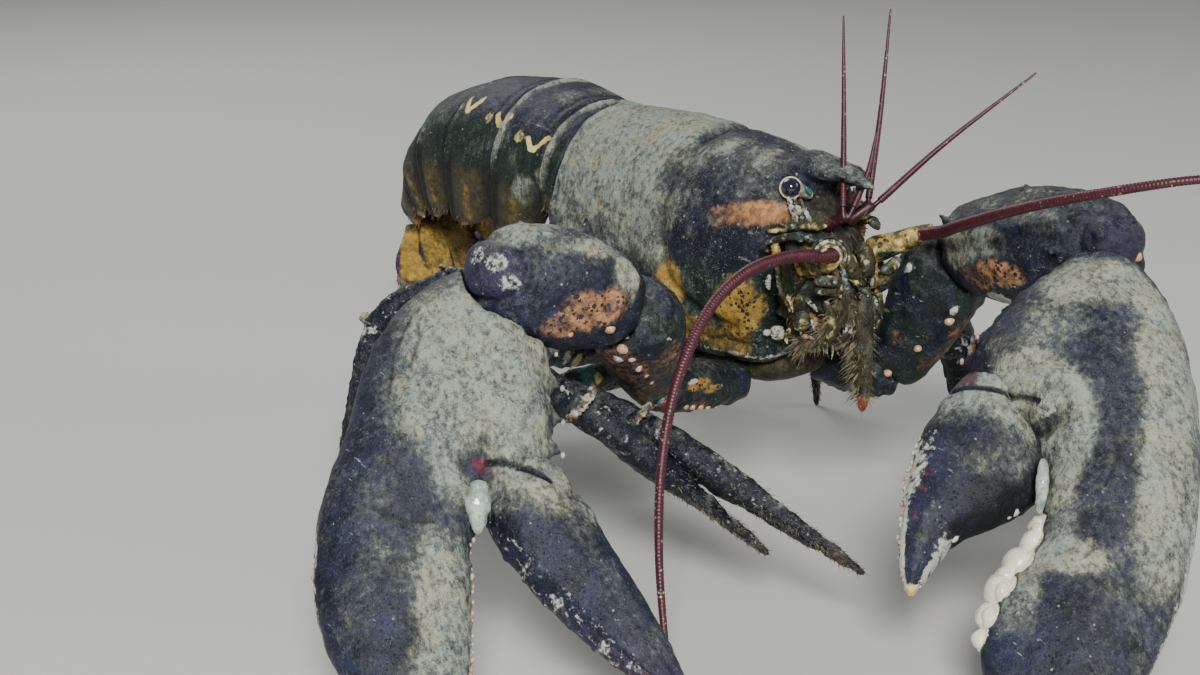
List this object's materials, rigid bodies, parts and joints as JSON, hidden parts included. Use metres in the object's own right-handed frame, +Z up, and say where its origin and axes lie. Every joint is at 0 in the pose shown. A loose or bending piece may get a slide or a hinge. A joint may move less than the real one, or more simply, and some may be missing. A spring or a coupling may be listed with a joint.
{
  "type": "american lobster model",
  "caption": "Life-size american lobster standing with a raised body, two great claws hanging to the floor, arched tail and long whip antennae.",
  "frame": {"origin": "bottom centre of the whole model's box, on the floor that the feet and claw tips rest on", "axes": "+Z up, -Y the way the head points, +X towards the animal's left side"},
  "size_m": [0.4604, 0.5714, 0.2662],
  "materials": {
    "eye": "glossy blue-black cornea with a cream rim",
    "shell_dark": "blue-black shell with orange and cream marks",
    "shell_green_cream": "cream-yellow and green mottled shell",
    "shell_leg": "blue-black mottled shell, pale cuffs",
    "shell_ochre": "ochre shell with dark red rims",
    "shell_olive": "olive-brown shell, hairy at the mouth",
    "shell_silted": "blue-black shell, grey-green silt behind, white speckle in front",
    "shell_slate": "slate blue-black shell under pale silt",
    "whip_maroon": "ringed maroon shell, satin"
  },
  "bodies": {
    "root": {"abdomen_1": "shell_dark", "abdomen_2": "shell_dark", "abdomen_3": "shell_dark", "abdomen_4": "shell_dark", "abdomen_5": "shell_dark", "abdomen_6": "shell_dark", "antenna_base_left": "shell_green_cream", "antenna_base_right": "shell_green_cream", "antenna_left_1": "whip_maroon", "antenna_left_2": "whip_maroon", "antenna_left_3": "whip_maroon", "antenna_right_1": "whip_maroon", "antenna_right_2": "whip_maroon", "antenna_right_3": "whip_maroon", "antennule_left": "whip_maroon", "antennule_right": "whip_maroon", "carapace": "shell_silted", "cheliped_carpus_left": "shell_dark", "cheliped_carpus_right": "shell_dark", "cheliped_ischium_left": "shell_dark", "cheliped_ischium_right": "shell_dark", "cheliped_merus_left": "shell_dark", "cheliped_merus_right": "shell_dark", "claw_finger_left": "shell_slate", "claw_finger_right": "shell_slate", "claw_palm_left": "shell_slate", "claw_palm_right": "shell_slate", "eye_left": "eye", "eye_right": "eye", "head_front": "shell_olive", "leg_1_left_lower": "shell_leg", "leg_1_left_upper": "shell_leg", "leg_1_right_lower": "shell_leg", "leg_1_right_upper": "shell_leg", "leg_2_left_lower": "shell_leg", "leg_2_left_upper": "shell_leg", "leg_2_right_lower": "shell_leg", "leg_2_right_upper": "shell_leg", "leg_3_left_lower": "shell_leg", "leg_3_left_upper": "shell_leg", "leg_3_right_lower": "shell_leg", "leg_3_right_upper": "shell_leg", "leg_4_left_lower": "shell_leg", "leg_4_left_upper": "shell_leg", "leg_4_right_lower": "shell_leg", "leg_4_right_upper": "shell_leg", "maxilliped_left": "shell_olive", "maxilliped_right": "shell_olive", "telson": "shell_ochre", "thorax_underside": "shell_olive", "uropod_inner_left": "shell_ochre", "uropod_inner_right": "shell_ochre", "uropod_outer_left": "shell_ochre", "uropod_outer_right": "shell_ochre"}
  },
  "joints": []
}
